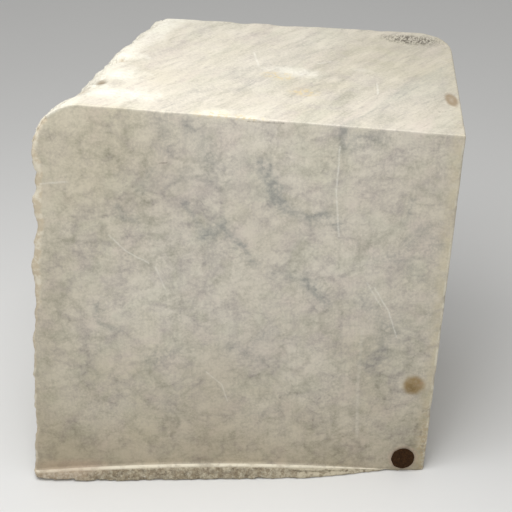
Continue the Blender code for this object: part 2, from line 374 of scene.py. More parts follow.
# %% Where the stone is broken
lip_face = (shares[2] <= LIP_SHARE * LEDGE_PART) & (shares[1] == 0)
lip_share = np.clip(shares[2] / LIP_SHARE, 0, 1)
shoulder = np.array([shoulder_radius(value) for value in y])
split = np.clip(1 - unworn["left"] / (0.9 * shoulder + 0.1 * MM), 0, 1) * (shares[2] > 0)
split = np.where((shares[1] > 0) & ((shares[0] == 0) | (shares[2] == 1)), split, 0.0)
split = np.where(shares[0] == 0, 1.0, np.clip(split * 3.0, 0, 1))
lip_broken = np.where(lip_face, np.clip((BROKEN_PART + 0.05 - lip_share) / 0.06, 0, 1), 0.0)
broken = np.clip(split + lip_broken, 0, 1)


def flakes(spot, size, seed):
    """Small flat facets: the height of a tilted plane in each cell, from -1 to 1."""
    spot = spot / size + Vector((seed, 0, 0))
    centre = noise.voronoi(spot)[1][0]
    tilt = noise.cell_vector(centre * 7.0)
    return (spot - centre).dot(tilt * 2 - Vector((1, 1, 1)))


SHOULDER_PITS = (  # x, y and z, and how wide and deep, in metres
    (-0.068, -0.031, 0.2165, 0.0026, 0.0018),
    (-0.0765, -0.039, 0.212, 0.0034, 0.0012),
    (-0.062, 0.001, 0.216, 0.0022, 0.0012),
)
stone.normal_update()
for i, vert in enumerate(stone.verts):
    if shares[0][i] < ROUGH_ACROSS and shares[2][i] > 0.8:
        for *centre, wide, depth in SHOULDER_PITS:
            near = (vert.co - Vector(centre)).length / wide
            vert.co -= vert.normal * depth * math.exp(-near * near)
    if broken[i] > 0.01 and vert.co.z > 0.3 * MM:
        spot = vert.co.copy()
        rough = 0.5 * flakes(spot, 0.0065, 0.0) + 0.35 * noise.noise(spot / 0.003)
        rough += 0.22 * noise.noise(spot / 0.0015)
        on_shoulder = 0.6 * flakes(spot, 0.01, 4.0) if shares[2][i] > 0.8 else 0.0
        vert.co += vert.normal * broken[i] * (rough + on_shoulder) * MM
        vert.co.z = max(vert.co.z, 0.0)
soft = [vert for i, vert in enumerate(stone.verts) if lip_face[i] and lip_share[i] > 0.35]
bmesh.ops.smooth_vert(stone, verts=soft, factor=0.4, use_axis_x=False, use_axis_y=True, use_axis_z=True)
print(int((broken > 0.5).sum()), "vertices lie on broken stone")

# %% [markdown]
# ## Hollows and crests
#
# Dirt stays in hollows, and crests are rubbed pale, so the finish has to know which is which. Moving each
# vertex to the middle of its neighbours, over and over, melts the relief away. How far a vertex then lies
# under the melted surface is how deep its hollow is, and on a crest it is less than nothing.

# %% How deep each hollow is
MELTING_ROUNDS = 24


def hollows(mesh):
    """The depth of each vertex under the smoothed surface, in millimetres."""
    ends = np.array([edge.vertices[:] for edge in mesh.edges])
    places = np.array([vert.co[:] for vert in mesh.vertices])
    normals = np.array([vert.normal[:] for vert in mesh.vertices])
    joined = np.bincount(ends.ravel(), minlength=len(places))
    melted = places.copy()
    for _ in range(MELTING_ROUNDS):
        for i in range(3):
            total = np.bincount(ends[:, 0], melted[ends[:, 1], i], len(places))
            total += np.bincount(ends[:, 1], melted[ends[:, 0], i], len(places))
            melted[:, i] = (melted[:, i] + total / joined) / 2
    return ((melted - places) * normals).sum(axis=1) / MM


# %% Into an object, with what the finish needs to know
def as_object(shape, name):
    """A smooth object of the scene, made of the bmesh."""
    made = bpy.data.objects.new(name, bpy.data.meshes.new(name))
    shape.to_mesh(made.data)
    shape.free()
    made.data.shade_smooth()
    bpy.context.scene.collection.objects.link(made)
    return made


bmesh.ops.recalc_face_normals(stone, faces=stone.faces)
block = as_object(stone, "veined_block")
facts = {"from_" + side: distance for side, distance in unworn.items()}
facts.update(broken=broken, lip=np.where(lip_face, 1 - lip_share, 0.0), hollow=hollows(block.data))
for name, values in facts.items():
    attribute = block.data.attributes.new(name, "FLOAT", "POINT")
    attribute.data.foreach_set("value", np.asarray(values, np.float32))
print("veined_block:", len(block.data.vertices), "vertices and the attributes", sorted(facts))
print("hollows run from", *np.percentile(facts["hollow"][broken > 0.5], (2, 98)).round(2), "mm")
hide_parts("marble_block")
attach(block, "root")

# %% [markdown]
# ## Writing a finish as sums
#
# A finish is a tree of nodes, and long trees are hard to read as code. `Wire` wraps one output of a node,
# so that `1 - mask * 0.5` adds the Math nodes it needs. `Finish.node` makes any other node: its settings
# are set first, because they can change which sockets it has, and then its sockets get values or wires.
# Colours and vectors never go through Math nodes, which would turn them grey.

# %% Wires
class Wire:
    """A number that a node gives, for use in sums."""

    def __init__(self, finish, socket):
        self.finish, self.socket = finish, socket

    def sum(self, operation, *values, clamp=False):
        settings = {"operation": operation, "use_clamp": clamp}
        return self.finish.node("ShaderNodeMath", settings, dict(enumerate(values)))

    def __add__(self, other):
        return self.sum("ADD", self, other)

    def __sub__(self, other):
        return self.sum("SUBTRACT", self, other)

    def __rsub__(self, other):
        return self.sum("SUBTRACT", other, self)

    def __mul__(self, other):
        return self.sum("MULTIPLY", self, other)

    __radd__, __rmul__ = __add__, __mul__

    def least(self, other):
        return self.sum("MINIMUM", self, other)

    def most(self, other):
        return self.sum("MAXIMUM", self, other)

    def clamped(self):
        return self.sum("ADD", self, 0.0, clamp=True)

    def ramp(self, start, end, low=0.0, high=1.0):
        """A smooth step from low at start to high at end, which may lie below start."""
        settings = {"interpolation_type": "SMOOTHSTEP"}
        if start > end:
            start, end, low, high = end, start, high, low
        return self.finish.node("ShaderNodeMapRange", settings, {0: self, 1: start, 2: end, 3: low, 4: high})


# %% Finishes
class Finish:
    """A material whose nodes are added by name."""

    def __init__(self, name, shown):
        self.material = bpy.data.materials.new(name)
        self.material.use_nodes = True
        self.material.diffuse_color = (*shown, 1.0)
        self.tree = self.material.node_tree
        self.shader = self.tree.nodes["Principled BSDF"]
        self.place = self.node("ShaderNodeTexCoord", output="Object")

    def node(self, kind, settings=None, sockets=None, output=0):
        made = self.tree.nodes.new(kind)
        for name, value in (settings or {}).items():
            setattr(made, name, value)
        for name, value in (sockets or {}).items():
            self.feed(made.inputs[name], value)
        return Wire(self, made.outputs[output])

    def feed(self, socket, value):
        if isinstance(value, Wire):
            self.tree.links.new(value.socket, socket)
        elif socket.type == "RGBA" and len(value) == 3:
            socket.default_value = (*value, 1.0)
        else:
            socket.default_value = value

    def vector(self, operation, *values, output=0):
        return self.node("ShaderNodeVectorMath", {"operation": operation}, dict(enumerate(values)), output)

    def mapped(self, turn=(0, 0, 0), stretch=(1, 1, 1)):
        """The place, turned back by some degrees, so that what reads it is turned and stretched."""
        sockets = {"Vector": self.place, "Rotation": tuple(map(math.radians, turn)), "Scale": stretch}
        return self.node("ShaderNodeMapping", {"vector_type": "TEXTURE"}, sockets)

    def noise(self, size, detail=2.0, roughness=0.5, place=None, colour=False):
        """Soft noise, whose blotches are about size millimetres across: numbers near 0.5."""
        sockets = {"Vector": place or self.place, "Scale": 1 / (size * MM)}
        sockets.update(Detail=detail, Roughness=roughness)
        return self.node("ShaderNodeTexNoise", None, sockets, output="Color" if colour else "Fac")

    def shifted(self, place, reach, size, detail=1.0):
        """The place moved about by noise, so that what reads it winds. Reach and size are in millimetres."""
        sway = self.vector("SUBTRACT", self.noise(size, detail, place=place, colour=True), (0.5, 0.5, 0.5))
        return self.vector("MULTIPLY_ADD", sway, (2 * reach * MM,) * 3, place)

    def mix(self, share, one, other, blend="MIX"):
        """Colour one, and the other where share is 1."""
        settings = {"data_type": "RGBA", "blend_type": blend}
        return self.node("ShaderNodeMix", settings, {0: share, 6: one, 7: other}, output=2)

    def coats(self, colour, *coats):
        """The colour under some coats, each of them a share and a tone."""
        for share, tone in coats:
            colour = self.mix(share, colour, tone)
        return colour

    def fact(self, name):
        return self.node("ShaderNodeAttribute", {"attribute_name": name}, output="Fac")

    def away(self, point, squash=(1, 1, 1)):
        """How far the place is from a point, in metres. A squash over 1 narrows what is drawn with it."""
        gap = self.vector("MULTIPLY", self.vector("SUBTRACT", self.place, point), squash)
        return self.vector("LENGTH", gap, output="Value")

    def to_line(self, place, start, end):
        """How far the place is from the straight line between two points, in metres."""
        start, end = Vector(start), Vector(end)
        run = end - start
        gap = self.vector("SUBTRACT", place, start)
        share = self.vector("DOT_PRODUCT", gap, run / run.length_squared, output="Value").clamped()
        foot = self.node("ShaderNodeVectorMath", {"operation": "SCALE"}, {0: run, "Scale": share})
        return self.vector("LENGTH", self.vector("SUBTRACT", gap, foot), output="Value")

    def to_lines(self, place, spots):
        """How far the place is from the nearest of the straight lines through the spots, in metres."""
        pieces = [self.to_line(place, *ends) for ends in zip(spots, spots[1:])]
        nearest = pieces[0]
        for piece in pieces[1:]:
            nearest = nearest.least(piece)
        return nearest

    def tell(self, done):
        """Says how large the finish has grown."""
        print(done, "done:", len(self.tree.nodes), "nodes")

    def use(self, **sockets):
        """Sets or feeds the shader's own sockets, named with _ for each space."""
        for name, value in sockets.items():
            self.feed(self.shader.inputs[name.replace("_", " ")], value)


marble = Finish("marble", (0.62, 0.58, 0.5))
print("the marble finish starts with", len(marble.tree.nodes), "nodes")

# %% [markdown]
# ## Where on the stone
#
# One finish covers the whole block, so it first has to know which surface it is on. The attributes say how
# far each point lies from every side, and a side is where that is nothing. The bed of the stone, along
# which its veins run, climbs from the front left towards the back right. Turning the coordinates to that
# line and squeezing them along it draws the veins as long streaks on the top and as a round web on the
# front, just as one set of veins does in a real block that is cut both ways.

# %% Surfaces and the bed of the stone
FROM_SIDE = 2.2 * MM
on_front, on_top, on_back, on_right = (
    marble.fact("from_" + side).ramp(FROM_SIDE, 0.0) for side in ("front", "top", "back", "right")
)
from_left, from_right = marble.fact("from_left"), marble.fact("from_right")
broken_stone, lip, hollow = marble.fact("broken"), marble.fact("lip"), marble.fact("hollow")
height = marble.node("ShaderNodeSeparateXYZ", None, {0: marble.place}, output="Z")

BED_TURN, BED_DIP = 54, -4
BED_LONG, STREAK_LONG = 4.5, 11  # how many times longer than wide its veins and its streaks are
bed = marble.mapped((0, BED_DIP, BED_TURN), (BED_LONG, 1, 1))
long_bed = marble.mapped((0, BED_DIP, BED_TURN - 4), (STREAK_LONG, 1, 1))
winding = marble.shifted(marble.shifted(bed, 4, 20), 1.2, 5.5)
frayed = marble.shifted(winding, 0.45, 1.7)
print("the bed runs", BED_TURN, "degrees round from the front")

# %% [markdown]
# ## The web of veins
#
# The grey in marble lies in thin seams round paler lumps, and clouds off them. Cell noise measured to the
# nearest cell wall gives such seams. Several sizes of it, from broad soft ones down to hairs, faded by soft
# noise so that seams come and go, make the web, and softer noise makes the clouds. Finest of all are
# streaks, which read coordinates that are stretched more, so on the top they are long and thin.

# %% Seams and clouds
def seams(place, size, width, fade_size, low, high):
    """Dark lines round lumps of a size, which fade in and out. The first three sizes are in millimetres."""
    cells = {"Vector": place, "Scale": 1 / (size * MM)}
    wall = marble.node("ShaderNodeTexVoronoi", {"feature": "DISTANCE_TO_EDGE"}, cells, output="Distance")
    return (wall * (size / width)).ramp(1.0, 0.0) * marble.noise(fade_size, place=place).ramp(low, high)


wide_seams = seams(frayed, 19, 2.6, 30, 0.4, 0.6)
seams_between = seams(frayed, 11, 2.3, 18, 0.32, 0.56)
fine_seams = seams(frayed, 5.6, 1.3, 12, 0.36, 0.62)
lump_edges = seams(winding, 9, 3.6, 30, 0.3, 0.54)
hairs = seams(frayed, 7.5, 0.75, 11, 0.4, 0.6)
hairs = hairs + seams(winding, 4.1, 0.6, 8, 0.44, 0.62)
cloud = marble.noise(17, 5.0, 0.68, frayed).ramp(0.4, 0.74)
wisps = marble.noise(6, 5.0, 0.74, frayed).ramp(0.42, 0.74)
streaks = marble.noise(1.9, 4.0, 0.7, marble.shifted(long_bed, 0.7, 6)).ramp(0.5, 0.7)
busy = marble.noise(85, 1.0).ramp(0.36, 0.64, 0.88, 1.06)
web = wide_seams * 0.18 + seams_between * 0.22 + fine_seams * 0.15 + cloud * 0.16 + wisps * 0.21
web = web + lump_edges * 0.16 + hairs * 0.13
darkness = web * busy * on_top.ramp(0.0, 1.0, 1.0, 0.72) + streaks * on_top.ramp(0.0, 1.0, 0.05, 0.28)
marble.tell("web of veins")

# %% [markdown]
# ## The veins that catch the eye
#
# Noise alone puts no vein in any chosen place. The few strong veins of this block are therefore drawn as
# strokes, each a chain of straight lines on the front. They are read from a place that noise has pushed
# about, so they come out winding and frayed, and from a place slid back along the bed, so each runs on
# through the stone as a sheet and comes out again on the other sides.

# %% Strokes of vein
STROKES = (  # half its width, how dark, and x and z along it, all in millimetres
    (6.5, 0.44, (5, 184), (12, 169)),
    (2.8, 0.58, (7, 186), (13, 172), (18, 162), (27, 158), (38, 159), (42, 154)),
    (3.4, 0.62, (-23, 148), (-13, 156), (-7, 146)),
    (2.2, 0.5, (-7, 146), (3, 132)),
    (2.2, 0.4, (-32, 167), (-23, 149)),
    (1.8, 0.5, (-63, 164), (-57, 157)),
    (3.4, 0.26, (-37, 175), (-28, 181), (-12, 177), (-5, 189)),
    (2.0, 0.4, (-54, 174), (-44, 184)),
    (2.8, 0.44, (11, 128), (27, 126), (40, 110)),
    (2.0, 0.45, (-78, 110), (-73, 99), (-67, 95)),
    (3.4, 0.45, (80, 145), (88, 151), (93, 140)),
    (3.0, 0.4, (64, 134), (78, 134), (87, 124)),
    (2.6, 0.45, (3, 84), (13, 92)),
    (4.5, 0.35, (-49, 77), (-38, 82)),
    (5.5, 0.35, (65, 72), (72, 84), (78, 94)),
    (2.6, 0.3, (-2, 40), (16, 44)),
    (5.0, 0.38, (-42, 216), (-38, 194)),
    (5.0, 0.42, (-28, 208), (-19, 190)),
    (4.0, 0.5, (43, 206), (47, 196)),
    (5.0, 0.35, (51, 201), (60, 201)),
    (2.4, 0.4, (76, 155), (79, 165)),
    (3.6, 0.35, (99, 122), (101, 110)),
    (3.2, 0.4, (-12, 82), (6, 76)),
    (3.0, 0.4, (58, 112), (70, 96)),
    (2.4, 0.28, (30, 122), (37, 116)),
)
FRONT_AT = -MIDDLE[1]  # y of the front's foot in the frame
slide = 1 / math.tan(math.radians(BED_TURN))
swaying = marble.shifted(marble.place, 4.5, 14, detail=2.0)
pushed = marble.shifted(swaying, 2.4, 3.4, detail=3.0)
back_along_bed = marble.vector("DOT_PRODUCT", pushed, (1, -slide, 0), output="Value") + slide * FRONT_AT
pushed_height = marble.node("ShaderNodeSeparateXYZ", None, {0: pushed}, output="Z")
on_strokes = marble.node("ShaderNodeCombineXYZ", None, {"X": back_along_bed, "Z": pushed_height})

patchy = marble.noise(3.0, 5.0, 0.8).ramp(0.36, 0.68, 0.15, 0.85)
strands = (fine_seams + seams_between + wide_seams * 0.6).clamped()
lumps = seams(frayed, 3.8, 1.9, 9, 0.25, 0.5)
ragged_strokes = patchy * 0.32 + strands * 0.25 + lumps * 0.22
drawn = 0.0
for reach, dark, *points in STROKES:
    line = marble.to_lines(on_strokes, [(x * MM, 0, z * MM) for x, z in points])
    drawn = line.ramp(2.0 * reach * MM, 0.0) * dark + drawn
darkness = darkness + drawn * ragged_strokes * on_top.ramp(0.0, 1.0, 1.0, 0.25)
marble.tell("strokes")

# %% [markdown]
# ## Base colour
#
# Under the veins the stone is a warm cream that drifts in tone, here paler, there yellower, rosier or a
# little green, with the fine salt and pepper of its crystals. The front grows browner and darker towards the
# foot, partly where it has stood in dirt and partly as painted shade for the light that fades down it, and
# duller towards its left and right ends and its upper left corner. Veins aren't painted on: they darken the
# cream, some of them a little towards blue, and the strokes towards slate.

# %% Mix the stone's colours
CREAM, PALE, OCHRE = (0.672, 0.618, 0.516), (0.712, 0.664, 0.564), (0.65, 0.598, 0.45)
ROSY, GREENISH = (0.675, 0.6, 0.522), (0.63, 0.612, 0.5)
GREY_VEIN, BLUE_VEIN, SLATE = (0.352, 0.334, 0.27), (0.35, 0.318, 0.292), (0.325, 0.322, 0.292)
# the foot's tone darkens the stone towards its foot: partly dirt, partly painted shade
FOOT_DIRT_AND_SHADE, EDGE_TONE = (0.72, 0.68, 0.6), (0.885, 0.87, 0.81)

drift = marble.noise(60, 2.0)
crystals = marble.noise(1.3, 3.0, 0.75)
upright = marble.noise(1.6, 3.0, 0.6, marble.mapped(stretch=(1, 1, 30)))
stone_colour = marble.coats(
    CREAM,
    (drift.ramp(0.35, 0.7), PALE),
    (marble.noise(38, 3.0).ramp(0.5, 0.78) * 0.45, OCHRE),
    (marble.noise(13, 3.0, place=winding).ramp(0.5, 0.7) * 0.6, ROSY),
    (marble.noise(16, place=winding).ramp(0.5, 0.64) * 0.4, GREENISH),
)
bluish = marble.noise(11, 2.0).ramp(0.42, 0.62)
vein_colour = marble.coats(GREY_VEIN, (bluish, BLUE_VEIN), (drawn * 1.6, SLATE))
salt = (0.5 - crystals) * 0.95 + (0.5 - upright) * on_front * 0.25
shade = (darkness + salt * darkness.ramp(0.0, 0.35, 0.65, 1.3)).clamped()
colour = marble.mix(shade, stone_colour, vein_colour)
# painted shade, partly dirt: the stone is browned and darkened towards its foot, where the light fades
foot_dirt_and_shade = (height + drift * (60 * MM)).ramp(140 * MM, 20 * MM) * on_front.ramp(0.0, 1.0, 0.45, 1.0)
colour = marble.mix(foot_dirt_and_shade, colour, FOOT_DIRT_AND_SHADE, "MULTIPLY")
# the front is darkened towards its left and right ends and its upper left corner
darker_ends = from_left.ramp(44 * MM, 4 * MM, 0.0, 0.8).most(from_right.ramp(34 * MM, 4 * MM, 0.0, 0.3))
darker_ends = darker_ends.most(marble.away((-0.09, FRONT_AT, 0.2)).ramp(80 * MM, 25 * MM)) * on_front
colour = marble.mix(darker_ends, colour, EDGE_TONE, "MULTIPLY")
marble.tell("base colour")

# %% [markdown]
# ## Bruised and broken stone
#
# Where marble is hit it doesn't dent: its crystals part, and the bruise turns white. So the top is whitest
# beside the shoulder. Broken faces show clean sugary crystals, with brown earth left in their hollows. The
# lip was never cleaned at all: only its ledge and its fillet, where the saw ran, are bright, and that
# brightness is a painted highlight of the light they catch as they face up.

# %% Bruises
BRUISED = (0.83, 0.805, 0.705)
BRUISES = (  # x and y on the top and the reach, in mm, and how white
    (-53, -44, 18, 0.8), (-66, -44, 18, 0.85), (-61, -22, 17, 0.8), (-58, 4, 16, 0.7),
    (27, -3, 15, 0.8), (-12, -58, 10, 0.9), (4, -60, 8, 0.85), (62, 8, 6, 0.3),
)
ragged = marble.noise(9, 5.0, 0.65)
clods = marble.noise(3.2, 4.0, 0.65)
specks = marble.noise(1.6, 3.0, 0.7)


def top_spot(x, y):
    """The place on the top at an x and a y in millimetres."""
    return x * MM, y * MM, top_z(x * MM + MIDDLE[0], y * MM + MIDDLE[1])


def uneven(distance, by):
    """The distance, with noise that makes the outline of what it draws uneven by some millimetres."""
    return distance + (ragged - 0.5) * (by * MM)


bruise = uneven(from_left, 26).ramp(24 * MM, 9 * MM) * on_top * 0.75
for *spot, reach, white in BRUISES:
    edge = uneven(marble.away(top_spot(*spot), (0.7, 1.4, 1)), 1.6 * reach)
    bruise = bruise.most(edge.ramp(0.9 * reach * MM, 0.1 * reach * MM) * on_top * white)
colour = marble.mix(bruise * specks.ramp(0.38, 0.58, 0.5, 1.0), colour, BRUISED)
marble.tell("bruises")

# %% Sugar and earth
SUGAR, TAN, EARTH = (0.76, 0.72, 0.62), (0.56, 0.455, 0.33), (0.3, 0.25, 0.18)
LIP_BROWN, LIP_GREY, LEDGE_HIGHLIGHT = (0.255, 0.206, 0.134), (0.36, 0.318, 0.236), (0.8, 0.745, 0.605)
LIP_PALE, LIP_DARK = (0.62, 0.56, 0.42), (0.115, 0.088, 0.058)

sugar_colour = marble.coats(
    SUGAR,
    (specks.ramp(0.4, 0.75) * 0.3 + shade * 0.85, GREY_VEIN),
    (hollow.ramp(-0.05, -0.6) * 0.55, BRUISED),
    (hollow.ramp(0.05, 0.6) * clods.ramp(0.35, 0.6) * 0.6, TAN),
    (hollow.ramp(0.35, 1.1) * 0.55, EARTH),
)
grit = marble.noise(1.7, 4.0, 0.75)
lip_colour = marble.coats(
    LIP_BROWN,
    (clods.ramp(0.42, 0.58), LIP_GREY),
    (specks.ramp(0.62, 0.36) * 0.35 + ragged.ramp(0.5, 0.36) * 0.45, EARTH),
    (specks.ramp(0.6, 0.74) * 0.5, SUGAR),
    (grit.ramp(0.5, 0.64) * 0.5 + hollow.ramp(-0.05, -0.35) * 0.25, LIP_PALE),
    (grit.ramp(0.48, 0.36) * 0.62 + hollow.ramp(0.05, 0.4) * 0.3, LIP_DARK),
)
on_lip = lip.ramp(1 - BROKEN_PART - 0.08, 1 - BROKEN_PART + 0.03)
# painted highlight: the ledge and fillet face up and catch the light, so they are painted pale
on_ledge_highlight = lip.ramp(0.0, 0.04) * (1 - on_lip)
colour = marble.coats(
    colour,
    (broken_stone * (1 - on_lip), sugar_colour),
    (on_lip * clods.ramp(0.2, 0.55, 0.8, 1.0), lip_colour),
    (on_ledge_highlight * ragged.ramp(0.34, 0.54, 0.35, 1.0), LEDGE_HIGHLIGHT),
)
marble.tell("broken stone")

# %% [markdown]
# ## Rubbed rims
#
# Wax and hand dirt stay in the bruises along a rubbed arris. The left rim of the front is the broadest, as
# it is the rounded edge of the break, and its tan fades into the flat. The right rim is only a tint, and
# near the foot it is brown. The arrises themselves are rubbed pale, and the front arris of the top is
# also painted a little paler as a painted highlight of the light it catches.

# %% Rims
RIM_TAN, RIM_PALE = (0.56, 0.47, 0.335), (0.735, 0.675, 0.545)
RIM_TINT, RIM_BROWN = (0.6, 0.525, 0.345), (0.4, 0.31, 0.19)

up_the_left = height.ramp(95 * MM, 128 * MM, 0.12, 1.0) * height.ramp(206 * MM, 186 * MM, 0.35, 1.0)
left_rim = (uneven(from_left, 5) - up_the_left * (3.5 * MM)).ramp(2.2 * MM, 0.0) * on_front
right_rim = uneven(from_right, 8).ramp(9 * MM, 1.0 * MM) * (on_front + on_top * 0.4)
low_right = right_rim * height.ramp(70 * MM, 12 * MM)
right_arris = from_right.ramp(1.8 * MM, 0.6 * MM) * on_front
# partly rubbed pale and partly a painted highlight: the front arris of the top catches the light
top_arris_wear_and_highlight = marble.fact("from_front").most(marble.fact("from_top")).ramp(1.3 * MM, 0.3 * MM)
patches = marble.noise(5, 4.0, 0.65)
rim_colour = marble.mix(patches.ramp(0.42, 0.62), RIM_TAN, RIM_PALE)
colour = marble.coats(
    colour,
    (left_rim * patches.ramp(0.3, 0.5, 0.45, 0.9), rim_colour),
    (right_rim * patches.ramp(0.35, 0.6, 0.2, 0.5), RIM_TINT),
    (right_arris * patches.ramp(0.4, 0.6) * 0.5, BRUISED),
    (low_right * specks.ramp(0.42, 0.58) * 0.75, RIM_BROWN),
    (top_arris_wear_and_highlight * ragged.ramp(0.35, 0.65) * 0.2, BRUISED),
)
marble.tell("rims")

# %% [markdown]
# ## Stains and dirt
#
# A second felt dot once sat on the front and a smaller one on the right rim of the top, and both left brown
# rings of old glue. Yellow, slightly pitted patches lie on the middle of the top and along its front arris,
# faint violet ones on the front, and a faint olive one at the back right of the top. The pits in the
# shoulder are brown. The lip's left end is a light brown, pale at its foot, partly its own colour and partly
# painted light against the shadow it stands in, while pale lumps show near its right end. All are drawn
# alike, by the distance from a spot, so each stain is one row of a list. The top's far right corner holds a
# streak of black dirt, and a few dark flecks are scattered about.

# %% Stains
def front_spot(x, z):
    """The place on the front at an x and a height in millimetres."""
    return x * MM, front_y(z * MM) - MIDDLE[1], z * MM


def stain(colour, spot, radius, soft, tone, strength, squash=(1, 1, 1), where=None):
    """The colour with a round, uneven stain on it, whose radius and soft edge are in millimetres."""
    edge = uneven(marble.away(spot, squash), 1.6 * soft)
    mask = edge.ramp((radius + soft) * MM, (radius - soft) * MM) * strength
    return marble.mix(mask * where if where else mask, colour, tone)


VIOLET, FAINT_OLIVE, YELLOWED = (0.43, 0.365, 0.375), (0.56, 0.52, 0.37), (0.66, 0.54, 0.32)
OLIVE, GLUE, HALO = (0.3, 0.205, 0.085), (0.33, 0.245, 0.155), (0.54, 0.415, 0.31)
DRIED, PINK, PIT_BROWN = (0.2, 0.13, 0.045), (0.48, 0.3, 0.2), (0.23, 0.185, 0.13)
END_TAN_AND_PAINTED_LIGHT, END_DULL, END_PALE = (0.5, 0.37, 0.27), (0.4, 0.31, 0.225), (0.64, 0.56, 0.45)
ROUND, LONG_RING, LONG_PATCH = (1, 1, 1), (1, 0.42, 1), (0.6, 1, 1)
TOP_STAIN = (0.105, -0.0208, 0.2019)
YELLOW_PATCHES = ((19, -8, 5), (31, -26, 4), (-14, -60, 5), (0, -62, 4), (6, -62, 3))  # x, y, radius

dot_low, dot_high = (Vector(corner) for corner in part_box("felt_dot"))
dot_centre = (dot_low + dot_high) / 2
pitted = clods.ramp(0.46, 0.58, 0.1, 0.8) * specks.ramp(0.44, 0.54, 0.2, 1.0)
pale_lumps = clods.ramp(0.4, 0.56, 0.1, 0.75) * specks.ramp(0.3, 0.5, 0.4, 1.0)
lip_end_pale_and_painted_light = marble.mix(clods.ramp(0.4, 0.6), END_DULL, END_PALE)
STAINS = (  # the spot, radius and soft edge in mm, tone, strength, squash, and the surface it keeps to
    ((-0.034, FRONT_AT, 0.18), 13, 13, VIOLET, 0.12),
    ((0.01, FRONT_AT, 0.08), 13, 13, VIOLET, 0.12),
    ((0.08, 0.03, 0.205), 30, 25, FAINT_OLIVE, 0.26, ROUND, on_top),
    (front_spot(89.7, 57.8), 5.6, 2.0, OLIVE, clods.ramp(0.25, 0.6, 0.66, 0.94)),
    (front_spot(88.7, 55.9), 2.6, 2.6, DRIED, specks.ramp(0.3, 0.6, 0.35, 0.8)),
    (front_spot(92.9, 58.2), 2.6, 1.6, PINK, specks.ramp(0.5, 0.62) * 0.5),
    (TOP_STAIN, 3.2, 1.0, GLUE, clods.ramp(0.25, 0.65, 0.78, 1.0) * 0.92, LONG_RING),
    (TOP_STAIN, 0.8, 1.2, CREAM, 0.26, LONG_RING),
    (dot_centre, 8.0, 1.4, HALO, specks.ramp(0.4, 0.6, 0.3, 0.72)),
    *((top_spot(x, y), size, 2.5, YELLOWED, pitted, LONG_PATCH, on_top) for x, y, size in YELLOW_PATCHES),
    (SHOULDER_PITS[0][:3], 2.1, 1.2, PIT_BROWN, 0.88, (0.8, 0.5, 0.6)),
    (SHOULDER_PITS[1][:3], 3.5, 3.0, TAN, specks.ramp(0.35, 0.6, 0.2, 0.6), (1, 0.5, 0.7)),
    # partly painted light: the lip's left end is tinted lighter, and paler at its foot, against its shadow
    ((-0.096, -0.066, 0.007), 4, 2.5, END_TAN_AND_PAINTED_LIGHT, 0.42, (0.2, 0.6, 1.0)),
    ((0.056, -0.07, 0.003), 12, 10, LIP_PALE, pale_lumps, (0.36, 0.4, 1.0), on_lip),
    ((-0.1, -0.069, 0.001), 4, 2, lip_end_pale_and_painted_light, 0.42, (0.26, 0.4, 1.0), on_lip),
)
for row in STAINS:
    colour = stain(colour, *row)
marble.tell("stains")

# %% Black dirt in the far corner, and flecks
SOOT, FLECK = (0.1, 0.085, 0.066), (0.24, 0.21, 0.175)
grimy = uneven(marble.away((0.096, 0.057, 0.2045), (0.42, 1.0, 0.3)), 5).ramp(9.5 * MM, 3.0 * MM)
dirt_specks = marble.noise(1.0, 4.0, 0.8, marble.mapped((0, 0, -15), (1, 2.6, 1)))
dirt = grimy * dirt_specks.ramp(0.44, 0.56) * 0.9
colour = marble.mix(dirt, colour, SOOT)
FLECKS = (  # x, y and z in metres, half its width and its length in mm, and which way it lies
    ((0.098, -0.036, 0.2025), 0.5, 3.2, (0.95, 0.3, -0.09)),
    ((0.079, -0.035, 0.2045), 0.5, 3.6, (0.95, 0.3, -0.09)),
    ((0.0109, -0.061, 0.2089), 0.4, 17.0, (1, 0, -0.07)),
    ((0.0189, -0.0648, 0.0511), 0.7, 1.0, (0, 0.02, 1)),
    ((0.0368, -0.0651, 0.0356), 0.5, 0.8, (0, 0.02, 1)),
    ((0.0975, -0.0651, 0.0405), 0.8, 3.4, (1, 0, 0.1)),
    ((0.093, -0.0651, 0.03), 0.4, 1.2, (1, 0, 0.2)),
    ((-0.0379, -0.0615, 0.1886), 0.5, 3.2, (1, 0, 0.05)),
    ((0.0489, -0.0637, 0.0955), 0.6, 1.0, (0, 0.02, 1)),
    ((0.0958, -0.0654, 0.0258), 0.8, 2.0, (0.3, 0, 1)),
    ((0.0975, -0.0656, 0.0176), 0.7, 2.6, (0.2, 0, 1)),
)
trembling = marble.shifted(marble.place, 0.5, 5, detail=2.0)
fleck_share = specks.ramp(0.38, 0.58, 0.15, 0.6)
for spot, half, length, along in FLECKS:
    reach = Vector(along) * (length * MM / 2)
    fleck = marble.to_line(trembling, Vector(spot) - reach, Vector(spot) + reach)
    colour = marble.mix(fleck.ramp(1.5 * half * MM, 0.3 * half * MM) * fleck_share, colour, FLECK)
marble.tell("dirt and flecks")

# %% [markdown]
# ## Scratches
#
# A scratch crushes the stone, so it is a hairline of white powder. Each one here is a chain of straight
# lines read from a slightly pushed place, which takes the ruler out of it, and noise breaks it up.

